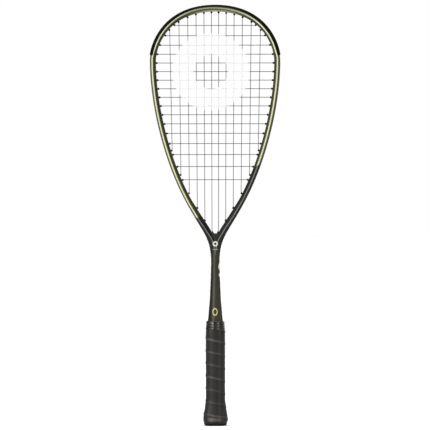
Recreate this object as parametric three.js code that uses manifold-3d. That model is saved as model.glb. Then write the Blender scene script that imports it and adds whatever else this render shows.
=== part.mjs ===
// Squash racket: a moulded carbon frame with its throat bridge, head guard, grommet strips, two
// woven strings, and a handle of pallets, butt cap, wrapped grip, finishing tape and rubber collar.
// Millimetres. +Z runs from the butt to the tip, the strings lie in the XZ plane, and the origin is
// the centre of the butt's end face. The front of the racket faces -Y.
import * as THREE from "three";
import { mergeVertices } from "three/addons/utils/BufferGeometryUtils.js";
import Module from "manifold-3d";

const wasm = await Module();
wasm.setup();

// ---------------------------------------------------------------- driving dimensions
const LENGTH = 686; // butt face to the tip of the head guard
const HEAD_WIDTH = 212.6; // across the frame at its widest, head guard left out
const HEAD_LENGTH = 422; // tip to the neck, where the two arms become one shaft
const FRAME_WIDTH = 9.8; // one frame member, in the plane of the strings
const FRAME_DEPTH = 18; // the beam, across the plane of the strings
const FRAME_WALL = 1.2;
const CLEARANCE = 0.25; // between pieces that are glued, clipped or pressed together
const FINEST = 0.01; // detail smaller than this is dropped from the finished solids

// The hoop's centreline, as Bezier handles. Lengths from the tip or neck, and along the tangents.
const CROWN_HANDLE = 83.6;
const WIDEST_BELOW_TIP = 91;
const SHOULDER_HANDLE = 21.2;
const SIDE_HANDLE = 73.3;
const ARM_X = 46.6; // a point halfway down the arm
const ARM_ABOVE_NECK = 108.6;
const ARM_LEAN = THREE.MathUtils.degToRad(27.5);
const ARM_HANDLE_UP = 67.8;
const ARM_HANDLE_DOWN = 65.9;
const NECK_WIDTH = 13.8; // the shaft at its narrowest
const NECK_HANDLE = 47.3;
const CROWN_STEPS = 10; // straight stretches per Bezier in the faceted solids
const SIDE_STEPS = 7;
const ARM_STEPS = 6;

// The channel round the outside of the hoop, which the grommet strips sit in.
const CHANNEL_WIDTH = 6.8;
const CHANNEL_DEPTH = 3;
const CHANNEL_END_ABOVE_NECK = 39;
const STRIP_THICK = 0.8;
const BARREL_RADIUS = 1.5;
const BARREL_BORE = 0.9;
const BARREL_PROUD = 1.5; // how far a barrel stands out of the frame's inner face
const LEAST_BARREL_PITCH = 4.3;
const GUARD_PROUD = 1.2; // the head guard over the frame's outer face
const GUARD_HALF_SPAN_BELOW_TIP = 83; // how far down each side the guard reaches
const GUARD_WRAP = 2.6; // how far the guard's lips reach round the front and back
const BARREL_SIDES = 6;

// Strings: 12 mains and 17 crosses.
const STRING_DIAMETER = 1.15;
const STRING_SIDES = 5;
const WEAVE_GAP = 0.15;
const MAINS_PER_SIDE = 6;
const CENTRE_MAIN_X = 5.9;
const OUTER_MAIN_INSET = 32.1; // outermost main, from the frame's outer edge
const MAIN_SPREAD = 0.128; // how much wider the outer gaps between mains are
const MAIN_FAN = 0.95; // the mains' places at the throat, as a share of those at the tip
const CROSSES = 17;
const FIRST_CROSS_BELOW_TIP = 33.4;
const LAST_CROSS_ABOVE_NECK = 136.7;
const TIGHTEST_CROSS = 8;
const GUARD_CROSSES = 4; // crosses whose barrels belong to the head guard
const STRIP_MAINS = 3; // outer mains per side whose lower barrels belong to the side strips
const LANE = 1.35; // mains and crosses run side by side in the channel, this far off its middle

// Throat bridge
const CROTCH_GAP = 0.7; // between the top of the bridge and the lowest barrels
const BRIDGE_DEPTH = 15.6;

// Shaft
const HANDLE_TOP = 168; // the shoulder where the pallets end
const SHAFT_FOOT_WIDTH = 23.8; // just above that shoulder
const SHAFT_ROUND = 3.2;
const SHAFT_WALL = 1.6;
const SHAFT_RUN_ON = 7; // how far the shaft goes on between the arms above the neck
const TANG_WIDTH = 16.8; // inside the handle
const TANG_BOTTOM = 6;

// Handle. Each half width belongs to the strings' plane; half depths are smaller by HANDLE_FLAT.
const PALLET_HALF = 13.5;
const PALLET_TOP_WALL = 0.5; // what is left of a pallet over the core, at its tapered top
const PALLET_TAPER = 17;
const HANDLE_FLAT = 1.9;
const BEVEL = 4.8; // the handle's eight-sided section
const PALLET_BOTTOM = 5;
const GRIP_THICK = 1.7;
const GRIP_END_THICK = 0.55; // where the wrap is cut thin under the tape
const GRIP_BOTTOM = 3.8;
const FLARE_TOP = 38; // top of the butt cap's skirt
const FLARE = 4.7; // how much the flared butt adds to the handle's half width
const CAP_LIP_HALF = 18.9;
const CAP_FACE_HALF = 17;
const CAP_FLOOR = 3;
const CAP_SKIRT_EDGE = 0.7;
const PLUG_RADIUS = 9;
const PLUG_BOSS_RADIUS = 6.5;
const PLUG_FLANGE = 1.3;
const TAPE_BOTTOM = 158;
const TAPE_TOP = 167.5;
const TAPE_THICK = 0.3;
const COLLAR_BOTTOM = 156.6;
const COLLAR_TOP = 170.6;
const COLLAR_THICK = 0.9;
const FOAM_LENGTH = 60;
const STAPLE_WIDTH = 10;
const STAPLE_WIRE = 1.1;
const STAPLE_Z = 24;
const STAPLE_STOP = 0.7; // how far the legs' ends stay off the handle's core

// ---------------------------------------------------------------- worked out from those
const halfWidth = FRAME_WIDTH / 2;
const halfDepth = FRAME_DEPTH / 2;
const neckZ = LENGTH - HEAD_LENGTH;
const neckX = NECK_WIDTH / 2 - halfWidth;
const channelFloor = halfWidth - CHANNEL_DEPTH;
const stripTop = channelFloor + CLEARANCE + STRIP_THICK;
const laneHeight = stripTop + CLEARANCE + STRING_DIAMETER / 2;
const mouthDepth = halfWidth + BARREL_PROUD;
const holeRadius = BARREL_RADIUS + CLEARANCE;
const palletTopHalf = halfDepth + CLEARANCE + PALLET_TOP_WALL + HANDLE_FLAT;

// ---------------------------------------------------------------- solids
function solid(geometry) {
  const bare = geometry.index ? geometry.toNonIndexed() : geometry.clone();
  bare.deleteAttribute("normal");
  bare.deleteAttribute("uv");
  const merged = mergeVertices(bare, 1e-4);
  return new wasm.Manifold(
    new wasm.Mesh({
      numProp: 3,
      vertProperties: merged.attributes.position.array,
      triVerts: new Uint32Array(merged.index.array),
    }),
  );
}

function geometryOf(body) {
  const mesh = body.asOriginal().simplify(FINEST).getMesh();
  return new THREE.BufferGeometry()
    .setAttribute("position", new THREE.BufferAttribute(mesh.vertProperties, 3))
    .setIndex(new THREE.BufferAttribute(mesh.triVerts, 1));
}

function joined(bodies) {
  return bodies.reduce((whole, body) => whole.add(body));
}

// A path of straight stretches that ExtrudeGeometry samples at exactly its own points.
class Route extends THREE.Curve {
  constructor(points) {
    super();
    this.points = points;
  }
  getPointAt(u, target = new THREE.Vector3()) {
    const along = u * (this.points.length - 1);
    const i = Math.min(Math.floor(along + 1e-9), this.points.length - 2);
    return target.lerpVectors(this.points[i], this.points[i + 1], along - i);
  }
  getTangentAt(u, target = new THREE.Vector3()) {
    const last = this.points.length - 1;
    const i = Math.round(u * last);
    const here = this.points[i];
    const before = here.clone().sub(this.points[Math.max(i - 1, 0)]).normalize();
    const after = this.points[Math.min(i + 1, last)].clone().sub(here).normalize();
    return target.addVectors(before, after).normalize();
  }
}

function sweep(outline, points) {
  return new THREE.ExtrudeGeometry(new THREE.Shape(outline), {
    steps: points.length - 1,
    extrudePath: new Route(points),
  });
}

// A closed body through rings of points, which run anticlockwise seen from +Z, lowest ring first.
function loft(rings) {
  const count = rings[0].length;
  const positions = [];
  const push = (...points) => points.forEach((p) => positions.push(p.x, p.y, p.z));
  for (let r = 0; r + 1 < rings.length; r++)
    for (let i = 0; i < count; i++) {
      const j = (i + 1) % count;
      const [a, b, c, d] = [rings[r][i], rings[r][j], rings[r + 1][j], rings[r + 1][i]];
      push(a, b, c, a, c, d);
    }
  const [foot, head] = [rings[0], rings[rings.length - 1]];
  for (let i = 1; i + 1 < count; i++) {
    push(foot[0], foot[i + 1], foot[i]);
    push(head[0], head[i], head[i + 1]);
  }
  return new THREE.BufferGeometry().setAttribute(
    "position",
    new THREE.Float32BufferAttribute(positions, 3),
  );
}

// Eight-sided ring of a handle section, given its half width in the strings' plane.
function handleRing(half, z, grow = 0) {
  const a = half + grow;
  const b = half - HANDLE_FLAT + grow;
  const bevel = BEVEL + grow * (2 - Math.SQRT2);
  const corners = [
    [a, -b + bevel],
    [a, b - bevel],
    [a - bevel, b],
    [-a + bevel, b],
    [-a, b - bevel],
    [-a, -b + bevel],
    [-a + bevel, -b],
    [a - bevel, -b],
  ];
  return corners.map(([x, y]) => new THREE.Vector3(x, y, z));
}

function handleBody(profile, grow = 0) {
  return solid(loft(profile.map(([half, z]) => handleRing(half, z, grow))));
}

function block(x0, x1, y0, y1, z0, z1) {
  return solid(
    new THREE.BoxGeometry(x1 - x0, y1 - y0, z1 - z0).translate(
      (x0 + x1) / 2,
      (y0 + y1) / 2,
      (z0 + z1) / 2,
    ),
  );
}

// ---------------------------------------------------------------- the hoop's centreline
function halfHoop() {
  const crownZ = LENGTH - GUARD_PROUD - halfWidth;
  const widest = new THREE.Vector3(HEAD_WIDTH / 2 - halfWidth, 0, LENGTH - WIDEST_BELOW_TIP);
  const arm = new THREE.Vector3(ARM_X, 0, neckZ + ARM_ABOVE_NECK);
  const down = new THREE.Vector3(-Math.sin(ARM_LEAN), 0, -Math.cos(ARM_LEAN));
  const neck = new THREE.Vector3(neckX, 0, neckZ);
  const at = (x, z) => new THREE.Vector3(x, 0, z);
  const crown = new THREE.CubicBezierCurve3(
    at(0, crownZ),
    at(CROWN_HANDLE, crownZ),
    at(widest.x, widest.z + SHOULDER_HANDLE),
    widest,
  );
  const side = new THREE.CubicBezierCurve3(
    widest,
    at(widest.x, widest.z - SIDE_HANDLE),
    arm.clone().addScaledVector(down, -ARM_HANDLE_UP),
    arm,
  );
  const lower = new THREE.CubicBezierCurve3(
    arm,
    arm.clone().addScaledVector(down, ARM_HANDLE_DOWN),
    at(neck.x, neck.z + NECK_HANDLE),
    neck,
  );
  return [
    ...crown.getPoints(CROWN_STEPS),
    ...side.getPoints(SIDE_STEPS).slice(1),
    ...lower.getPoints(ARM_STEPS).slice(1),
  ];
}

const mirrored = (p) => new THREE.Vector3(-p.x, p.y, p.z);
const rightHoop = halfHoop();
// The whole centreline, from the neck up the left side, over the tip and down the right side.
const hoop = [...rightHoop.map(mirrored).reverse(), ...rightHoop.slice(1)];
const stations = [0];
for (let i = 1; i < hoop.length; i++)
  stations.push(stations[i - 1] + hoop[i].distanceTo(hoop[i - 1]));
const hoopLength = stations[stations.length - 1];
const tipStation = hoopLength / 2;

// Point, direction of travel and outward normal at a distance along the centreline.
function along(station) {
  let i = stations.findIndex((s) => s > station);
  if (i < 1) i = stations.length - 1;
  const share = (station - stations[i - 1]) / (stations[i] - stations[i - 1]);
  const point = hoop[i - 1].clone().lerp(hoop[i], share);
  const travel = hoop[i].clone().sub(hoop[i - 1]).normalize();
  return { point, travel, outward: new THREE.Vector3(-travel.z, 0, travel.x) };
}

// A place on the hoop, outward of the centreline by `out` and off the strings' plane by `off`.
function place(station, out, off = 0) {
  const { point, outward } = along(station);
  return point.addScaledVector(outward, out).add(new THREE.Vector3(0, off, 0));
}

function stretch(from, to) {
  const inner = hoop.filter((_, i) => stations[i] > from + 0.5 && stations[i] < to - 0.5);
  return [along(from).point, ...inner, along(to).point];
}

// The station between two others where measure(station) is zero. The sign changes once between them.
function whereZero(low, high, measure) {
  const rising = measure(high) > measure(low);
  for (let i = 0; i < 50; i++) {
    const middle = (low + high) / 2;
    if (measure(middle) > 0 === rising) high = middle;
    else low = middle;
  }
  return (low + high) / 2;
}

const mouth = (station) => place(station, -mouthDepth);
const stationAtHeight = (z) => whereZero(tipStation, hoopLength, (s) => mouth(s).z - z);
const widestStation = stationAtHeight(LENGTH - WIDEST_BELOW_TIP);
const other = (station) => hoopLength - station; // the same place on the left side

// ---------------------------------------------------------------- where the strings meet the hoop
function crossHeights() {
  const gaps = [];
  for (let i = 1; i < CROSSES; i++) {
    const below = Math.max(0, (i - TIGHTEST_CROSS) / (CROSSES - 1 - TIGHTEST_CROSS));
    const above = Math.max(0, (TIGHTEST_CROSS - 1 - i) / (TIGHTEST_CROSS - 2));
    gaps.push(1 + 0.535 * below ** 2.2 + 0.2 * above ** 3);
  }
  const first = LENGTH - FIRST_CROSS_BELOW_TIP;
  const last = neckZ + LAST_CROSS_ABOVE_NECK;
  const total = gaps.reduce((sum, gap) => sum + gap, 0);
  const heights = [first];
  for (const gap of gaps)
    heights.push(heights[heights.length - 1] - ((first - last) * gap) / total);
  return heights;
}

function mainPlaces() {
  const outer = HEAD_WIDTH / 2 - OUTER_MAIN_INSET;
  const last = MAINS_PER_SIDE - 1;
  return Array.from({ length: MAINS_PER_SIDE }, (_, i) => {
    const share = i / last;
    const eased = share * (1 - MAIN_SPREAD) + share ** 2 * MAIN_SPREAD;
    return CENTRE_MAIN_X + (outer - CENTRE_MAIN_X) * eased;
  });
}

// A barrel keeps its distance from the crosses' barrels by moving up the frame.
function clearOfCrosses(station, crossStations) {
  const near = crossStations.find((s) => Math.abs(s - station) < LEAST_BARREL_PITCH);
  return near === undefined ? station : near - LEAST_BARREL_PITCH;
}

const heights = crossHeights();
const crossStations = heights.map(stationAtHeight);
const mains = mainPlaces().map((x) => ({
  top: clearOfCrosses(
    whereZero(tipStation, widestStation, (s) => mouth(s).x - x),
    crossStations,
  ),
  bottom: clearOfCrosses(
    whereZero(widestStation, hoopLength, (s) => mouth(s).x - x * MAIN_FAN),
    crossStations,
  ),
}));

// ---------------------------------------------------------------- sections of the hoop
// Each outline is given as [outward, off the strings' plane] pairs, front half first.
function asOutline(half) {
  const back = half.map(([out, off]) => [out, -off]).reverse();
  return [...half, ...back].map(([out, off]) => new THREE.Vector2(off, -out));
}

// The frame's rounded outline from its outer face to its inner face, grown by `grow`.
function rim(grow = 0, start = CHANNEL_WIDTH / 2) {
  const w = halfWidth + grow;
  const d = halfDepth + grow;
  return [
    [w, start],
    [0.95 * w, 0.63 * d],
    [0.73 * w, 0.87 * d],
    [0.26 * w, d],
    [-0.26 * w, d],
    [-0.73 * w, 0.87 * d],
    [-0.95 * w, 0.63 * d],
    [-w, 0.33 * d],
  ];
}

const plainSection = asOutline(rim());
const channelSection = asOutline([[channelFloor, CHANNEL_WIDTH / 2], ...rim()]);
const cavitySection = asOutline([
  [channelFloor - FRAME_WALL, 0.6 * halfDepth],
  [channelFloor - 2 * FRAME_WALL, halfDepth - 1.7 * FRAME_WALL],
  [FRAME_WALL - 0.75 * halfWidth, halfDepth - 1.7 * FRAME_WALL],
  [FRAME_WALL - halfWidth, 0.5 * halfDepth],
]);

const stripHalf = CHANNEL_WIDTH / 2 - CLEARANCE;
const stripSection = asOutline([
  [stripTop, stripHalf - STRIP_THICK],
  [halfWidth - CLEARANCE, stripHalf - STRIP_THICK],
  [halfWidth - CLEARANCE, stripHalf],
  [channelFloor + CLEARANCE, stripHalf],
]);

function guardSection() {
  const outer = rim(GUARD_PROUD).slice(0, 3);
  const inner = rim(CLEARANCE).slice(0, 3);
  const lip = halfWidth - GUARD_WRAP;
  const lipOuter = [lip, halfDepth + 0.45 * GUARD_PROUD];
  const lipInner = [lip, halfDepth - 0.35];
  outer[0][1] = stripHalf - STRIP_THICK;
  inner[0][1] = stripHalf;
  return asOutline([
    [stripTop, stripHalf - STRIP_THICK],
    ...outer,
    lipOuter,
    lipInner,
    ...inner.reverse(),
    [channelFloor + CLEARANCE, stripHalf],
  ]);
}

// ---------------------------------------------------------------- barrels and their holes
function rod(station, radius, from, to) {
  const { point, outward } = along(station);
  const turn = new THREE.Quaternion().setFromUnitVectors(new THREE.Vector3(0, 1, 0), outward);
  const geometry = new THREE.CylinderGeometry(radius, radius, to - from, BARREL_SIDES)
    .translate(0, (from + to) / 2, 0)
    .applyQuaternion(turn)
    .translate(point.x, point.y, point.z);
  return solid(geometry);
}

const barrel = (station) => rod(station, BARREL_RADIUS, -mouthDepth, stripTop - STRIP_THICK / 2);
const bore = (station) => rod(station, BARREL_BORE, -mouthDepth - 1, halfWidth + GUARD_PROUD);
const frameHole = (station) => rod(station, holeRadius, -mouthDepth, channelFloor + 1);

function strip(section, from, to, places) {
  const base = solid(sweep(section, stretch(from, to)));
  return joined([base, ...places.map(barrel)]).subtract(joined(places.map(bore)));
}

// ---------------------------------------------------------------- frame
const channelEndStation = whereZero(
  widestStation,
  hoopLength,
  (s) => along(s).point.z - neckZ - CHANNEL_END_ABOVE_NECK,
);

function shaftOutline(footHalf, tangHalf, bottom, inset) {
  const shape = new THREE.Shape();
  const neckHalf = NECK_WIDTH / 2 - inset;
  const rise = neckZ - HANDLE_TOP;
  const shoulder = HANDLE_TOP + inset;
  shape.moveTo(-tangHalf, bottom);
  shape.lineTo(tangHalf, bottom);
  shape.lineTo(tangHalf, shoulder);
  shape.lineTo(footHalf, shoulder);
  shape.bezierCurveTo(
    neckHalf + 1.5,
    HANDLE_TOP + 0.33 * rise,
    neckHalf + 0.7,
    HANDLE_TOP + 0.6 * rise,
    neckHalf,
    neckZ,
  );
  shape.lineTo(neckHalf, neckZ + SHAFT_RUN_ON);
  shape.lineTo(-neckHalf, neckZ + SHAFT_RUN_ON);
  shape.lineTo(-neckHalf, neckZ);
  shape.bezierCurveTo(
    -neckHalf - 0.7,
    HANDLE_TOP + 0.6 * rise,
    -neckHalf - 1.5,
    HANDLE_TOP + 0.33 * rise,
    -footHalf,
    shoulder,
  );
  shape.lineTo(-tangHalf, shoulder);
  shape.closePath();
  return shape;
}

function shaftBody(inset, round, bottom) {
  const shape = shaftOutline(SHAFT_FOOT_WIDTH / 2 - inset, TANG_WIDTH / 2 - inset, bottom, inset);
  const half = halfDepth - inset;
  const geometry = new THREE.ExtrudeGeometry(shape, {
    depth: 2 * (half - round),
    curveSegments: 7,
    bevelThickness: round,
    bevelSize: round,
    bevelOffset: -round,
    bevelSegments: 2,
  });
  // The outline was drawn in XY and extruded along Z: stand it up.
  return solid(geometry.translate(0, 0, -half + round).rotateX(Math.PI / 2));
}

const everyStation = [
  ...crossStations,
  ...mains.map((main) => main.top),
  ...mains.map((main) => main.bottom),
];

// Swept in two halves that overlap at the tip, because the arms run into each other at the neck.
function wholeHoop(section) {
  return joined([
    solid(sweep(section, stretch(0, tipStation + FRAME_WIDTH))),
    solid(sweep(section, stretch(tipStation - FRAME_WIDTH, hoopLength))),
  ]);
}

function makeFrame() {
  const outside = joined([
    wholeHoop(channelSection),
    solid(sweep(plainSection, stretch(0, other(channelEndStation)))),
    solid(sweep(plainSection, stretch(channelEndStation, hoopLength))),
    shaftBody(0, SHAFT_ROUND, TANG_BOTTOM),
  ]);
  const inside = joined([
    wholeHoop(cavitySection),
    shaftBody(SHAFT_WALL, SHAFT_ROUND - SHAFT_WALL / 2, TANG_BOTTOM - 10),
  ]);
  const holes = everyStation.flatMap((s) => [frameHole(s), frameHole(other(s))]);
  return outside.subtract(inside).subtract(joined(holes));
}

// The web that fills the crotch between the arms, cut to fit against them.
function makeBridge() {
  const topZ = mouth(mains[0].bottom).z - BARREL_RADIUS - CROTCH_GAP;
  const rightEdge = rightHoop.filter((p) => p.z < topZ && p.z > neckZ);
  const topStation = whereZero(widestStation, hoopLength, (s) => along(s).point.z - topZ);
  const right = [along(topStation).point, ...rightEdge];
  const outline = [...right, ...right.map(mirrored).reverse()];
  const geometry = new THREE.ExtrudeGeometry(
    new THREE.Shape(outline.map((p) => new THREE.Vector2(p.x, p.z))),
    { depth: BRIDGE_DEPTH, bevelEnabled: false },
  )
    .translate(0, 0, -BRIDGE_DEPTH / 2)
    .rotateX(Math.PI / 2);
  return solid(geometry)
    .subtract(wholeHoop(asOutline(rim(CLEARANCE))))
    .subtract(shaftBody(-CLEARANCE, SHAFT_ROUND, TANG_BOTTOM));
}

// ---------------------------------------------------------------- grommets
const guardStation = whereZero(
  tipStation,
  hoopLength,
  (s) => along(s).point.z - LENGTH + GUARD_HALF_SPAN_BELOW_TIP,
);
const guardHalf = [...mains.map((main) => main.top), ...crossStations.slice(0, GUARD_CROSSES)];
const stripMains = mains.slice(-STRIP_MAINS).map((main) => main.bottom);
const throatMains = mains.slice(0, -STRIP_MAINS).map((main) => main.bottom);
const stripStations = [...crossStations.slice(GUARD_CROSSES), ...stripMains];
const stripEnd = Math.max(...stripStations) + 3 * BARREL_RADIUS;

const makeGuard = () =>
  strip(guardSection(), other(guardStation), guardStation, [...guardHalf, ...guardHalf.map(other)]);
const makeRightStrip = () =>
  strip(stripSection, guardStation + 2 * CLEARANCE, stripEnd, stripStations);
const makeLeftStrip = () =>
  strip(
    stripSection,
    other(stripEnd),
    other(guardStation + 2 * CLEARANCE),
    stripStations.map(other),
  );
const makeThroatGrommet = (s) =>
  strip(stripSection, s - 2.4 * BARREL_RADIUS, s + 2.4 * BARREL_RADIUS, [s]);

// ---------------------------------------------------------------- strings
// The string just outside a barrel's mouth, and where it leaves the barrel into the channel.
const leave = (station) => place(station, -mouthDepth - 0.35);
const exit = (station) => place(station, laneHeight);

// From one barrel's outer end to the next, along one lane of the channel.
function loop(from, to, lane) {
  const way = Math.sign(to - from);
  const shift = 3.2;
  const [start, end] = [from + way * shift, to - way * shift];
  const between = stations.filter((s) => (s - start) * way > 1 && (end - s) * way > 1);
  if (way < 0) between.reverse();
  // A corner of the channel is passed just either side of it, because `place` has one normal there.
  return [start, ...between, end].map((s) => place(s + 0.01 * way, laneHeight, lane));
}

// The end of a string, which lies in the channel beside its last barrel.
function tail(from, length, lane) {
  return [exit(from), place(from + Math.sign(length) * 3.2, laneHeight, lane)].concat([
    place(from + length, laneHeight, lane),
  ]);
}

function stringBody(points) {
  const circle = Array.from({ length: STRING_SIDES }, (_, i) => {
    const turn = (i / STRING_SIDES) * 2 * Math.PI;
    return new THREE.Vector2(Math.cos(turn), Math.sin(turn)).multiplyScalar(STRING_DIAMETER / 2);
  });
  return solid(sweep(circle, points));
}

// The mains run from the left outermost one to the right outermost one. Each pair of neighbours is
// joined in turn at the throat and at the tip, and the two centre ones at the tip.
function mainsRoute() {
  const left = mains.map((main) => ({ top: other(main.top), bottom: other(main.bottom) }));
  const order = [...left.reverse(), ...mains];
  const points = tail(order[0].top, 9, -LANE).reverse();
  order.forEach((main, i) => {
    const downwards = i % 2 === 0;
    const [from, to] = downwards ? [main.top, main.bottom] : [main.bottom, main.top];
    if (i > 0) points.push(exit(from));
    points.push(leave(from), leave(to));
    const next = order[i + 1];
    if (next) points.push(exit(to), ...loop(to, downwards ? next.bottom : next.top, -LANE));
  });
  return [...points, ...tail(order[order.length - 1].top, -9, -LANE)];
}

// How far a woven string must stand off a main, `reach` before the place where it is back in plane.
function standOff(reach) {
  const apart = STRING_DIAMETER + WEAVE_GAP;
  const run = Math.max(reach, 1.05 * apart);
  return (apart * run) / Math.sqrt(run ** 2 - apart ** 2);
}

// The x of each main where it passes a height, or nothing if it ends above or below it.
function mainsAt(z) {
  const found = [];
  for (const main of mains) {
    const [top, bottom] = [leave(main.top), leave(main.bottom)];
    const share = (z - bottom.z) / (top.z - bottom.z);
    if (share > 0 && share < 1) found.push(bottom.x + (top.x - bottom.x) * share);
  }
  return [...found.map((x) => -x).reverse(), ...found];
}

function crossesRoute() {
  const points = tail(other(crossStations[0]), 4, LANE).reverse();
  crossStations.forEach((station, row) => {
    const rightwards = row % 2 === 0;
    const [from, to] = rightwards ? [other(station), station] : [station, other(station)];
    const [start, end] = [leave(from), leave(to)];
    const places = mainsAt(start.z);
    const knots = [Math.min(start.x, end.x), ...places, Math.max(start.x, end.x)];
    const woven = places.map((x, i) => {
      const before = (x - knots[i]) / (i === 0 ? 1 : 2);
      const after = (knots[i + 2] - x) / (i === places.length - 1 ? 1 : 2);
      const main = i + MAINS_PER_SIDE - places.length / 2;
      const side = (row + main) % 2 === 0 ? 1 : -1;
      return new THREE.Vector3(x, side * standOff(Math.min(before, after)), start.z);
    });
    if (row > 0) points.push(exit(from));
    points.push(start, ...(rightwards ? woven : woven.reverse()), end);
    const next = crossStations[row + 1];
    if (next) points.push(exit(to), ...loop(to, rightwards ? next : other(next), LANE));
  });
  return [...points, ...tail(crossStations[CROSSES - 1], 4, LANE)];
}

// ---------------------------------------------------------------- handle
const palletProfile = [
  [PALLET_HALF, PALLET_BOTTOM],
  [PALLET_HALF, HANDLE_TOP - PALLET_TAPER],
  [palletTopHalf, HANDLE_TOP - CLEARANCE],
];

function makePallet(side) {
  const whole = handleBody(palletProfile);
  const slot = block(
    -TANG_WIDTH / 2 - CLEARANCE,
    TANG_WIDTH / 2 + CLEARANCE,
    -halfDepth - CLEARANCE,
    halfDepth + CLEARANCE,
    0,
    HANDLE_TOP + 1,
  );
  const keep = 2 * PALLET_HALF;
  const gap = CLEARANCE / 2;
  const half =
    side < 0
      ? block(-keep, keep, -keep, -gap, 0, LENGTH)
      : block(-keep, keep, gap, keep, 0, LENGTH);
  return whole.subtract(slot).intersect(half).subtract(stapleSpace(side));
}

// The flared butt: half widths of the cap's skirt, from its lip up to its thin top edge.
function skirtHalf(z) {
  const low = 12;
  const share = THREE.MathUtils.clamp((FLARE_TOP - z) / (FLARE_TOP - low), 0, 1);
  const edge = PALLET_HALF + CLEARANCE + CAP_SKIRT_EDGE;
  return edge + (PALLET_HALF + FLARE - edge) * share ** 1.15;
}

const skirtLevels = [GRIP_BOTTOM, 12, 19, 26, 32, FLARE_TOP];
const skirtProfile = skirtLevels.map((z) => [skirtHalf(z) - (z < 12 ? 0.7 : 0), z]);
const capProfile = [
  [CAP_FACE_HALF, 0],
  [CAP_LIP_HALF - 0.5, 1.4],
  [CAP_LIP_HALF, GRIP_BOTTOM - CLEARANCE - 0.6],
  [CAP_LIP_HALF, GRIP_BOTTOM - CLEARANCE],
  ...skirtProfile,
];

// A plug's or its seat's profile, turned about the racket's axis.
function plugBody(grow) {
  const top = CAP_FLOOR + (grow ? 1 : 0);
  const bottom = grow ? -1 : 0.3;
  const profile = [
    new THREE.Vector2(0, bottom),
    new THREE.Vector2(PLUG_RADIUS + grow, bottom),
    new THREE.Vector2(PLUG_RADIUS + grow, PLUG_FLANGE + grow),
    new THREE.Vector2(PLUG_BOSS_RADIUS + grow, PLUG_FLANGE + grow),
    new THREE.Vector2(PLUG_BOSS_RADIUS + grow, top),
    new THREE.Vector2(0, top),
  ];
  return solid(new THREE.LatheGeometry(profile, 20).rotateX(Math.PI / 2));
}

function makeCap() {
  const room = handleBody(
    [
      [PALLET_HALF, CAP_FLOOR],
      [PALLET_HALF, FLARE_TOP + 1],
    ],
    CLEARANCE,
  );
  return handleBody(capProfile)
    .subtract(room)
    .subtract(plugBody(CLEARANCE))
    .subtract(stapleSpace(-1))
    .subtract(stapleSpace(1));
}

// A staple's crown lies in the cap's skirt, and its two legs bite into the pallet.
const crownTop = skirtHalf(STAPLE_Z + STAPLE_WIRE) - HANDLE_FLAT - CLEARANCE;
const legEnd = halfDepth + STAPLE_STOP;

function stapleBody(side, grow, top) {
  const half = STAPLE_WIDTH / 2;
  const wire = STAPLE_WIRE;
  const low = STAPLE_Z - wire / 2 - grow;
  const high = STAPLE_Z + wire / 2 + grow;
  const span = (near, far) => (side < 0 ? [-far, -near] : [near, far]);
  const crown = block(-half - grow, half + grow, ...span(crownTop - wire - grow, top), low, high);
  const legs = [-half, half - wire].map((x) =>
    block(x - grow, x + wire + grow, ...span(legEnd - grow, top), low, high),
  );
  return joined([crown, ...legs]);
}

const makeStaple = (side) => stapleBody(side, 0, crownTop);
const stapleSpace = (side) => stapleBody(side, CLEARANCE, crownTop + 3);

function makeFoam() {
  const half = TANG_WIDTH / 2 - SHAFT_WALL - CLEARANCE;
  const deep = halfDepth - SHAFT_WALL - CLEARANCE;
  const shape = new THREE.Shape();
  const round = SHAFT_ROUND - SHAFT_WALL / 2;
  shape.moveTo(-half + round, -deep);
  shape.lineTo(half - round, -deep);
  shape.lineTo(half, -deep + round);
  shape.lineTo(half, deep - round);
  shape.lineTo(half - round, deep);
  shape.lineTo(-half + round, deep);
  shape.lineTo(-half, deep - round);
  shape.lineTo(-half, -deep + round);
  shape.closePath();
  return new THREE.ExtrudeGeometry(shape, { depth: FOAM_LENGTH, bevelEnabled: false }).translate(
    0,
    0,
    TANG_BOTTOM + 1,
  );
}

// What the grip is wrapped on, and the grip's own outside.
const wrapTop = HANDLE_TOP - 1;
const taperZ = HANDLE_TOP - PALLET_TAPER;
const wrapTopHalf =
  palletTopHalf + (PALLET_HALF - palletTopHalf) * (1 / (PALLET_TAPER - CLEARANCE));
const coreProfile = [
  ...skirtProfile,
  [PALLET_HALF, FLARE_TOP + 1.5],
  [PALLET_HALF, taperZ],
  [wrapTopHalf, wrapTop],
];
const gripOutside = [
  ...skirtProfile.map(([half, z]) => [half + GRIP_THICK, z]),
  [PALLET_HALF + GRIP_THICK + 0.3, FLARE_TOP + 5],
  [PALLET_HALF + GRIP_THICK + 0.3, taperZ - 3],
  [wrapTopHalf + GRIP_END_THICK, wrapTop],
];

function sleeve(inside, outside, thick, bottom, top) {
  const cut = 4 * HEAD_WIDTH;
  const core = handleBody(extended(inside), CLEARANCE);
  const shell = handleBody(outside, thick);
  return shell.subtract(core).intersect(block(-cut, cut, -cut, cut, bottom, top));
}

// A profile carried on past both its ends, so that a cut with it goes right through.
function extended(profile) {
  const [first, last] = [profile[0], profile[profile.length - 1]];
  return [[first[0], first[1] - 5], ...profile, [last[0], last[1] + 5]];
}

const tapeBase = [
  [PALLET_HALF + GRIP_THICK + 0.3, taperZ - 3],
  [wrapTopHalf + GRIP_END_THICK, wrapTop],
  [wrapTopHalf + GRIP_END_THICK, COLLAR_TOP],
];

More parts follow.
